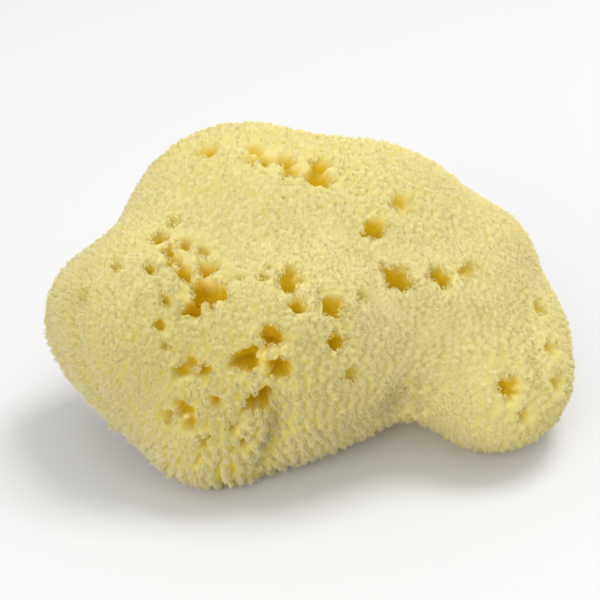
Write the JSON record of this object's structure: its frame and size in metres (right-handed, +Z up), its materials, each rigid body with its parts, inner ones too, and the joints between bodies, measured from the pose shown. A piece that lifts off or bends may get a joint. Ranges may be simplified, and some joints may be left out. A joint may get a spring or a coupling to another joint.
{
  "type": "sea sponge",
  "caption": "Natural bath sponge: a pale yellow lobed skeleton with a tufted, springy skin and deep round openings, resting on its own lobes.",
  "frame": {"origin": "under the middle of the sponge's box, on the surface that it rests on", "axes": "+X along the sponge's length towards its right end, +Y away from the side with the most openings, +Z up"},
  "size_m": [0.1088, 0.0722, 0.0603],
  "materials": {
    "sponge": "matt pale yellow sponge fibre, cream at the tips and golden brown in the openings"
  },
  "bodies": {
    "root": {"sponge": "sponge"}
  },
  "joints": []
}
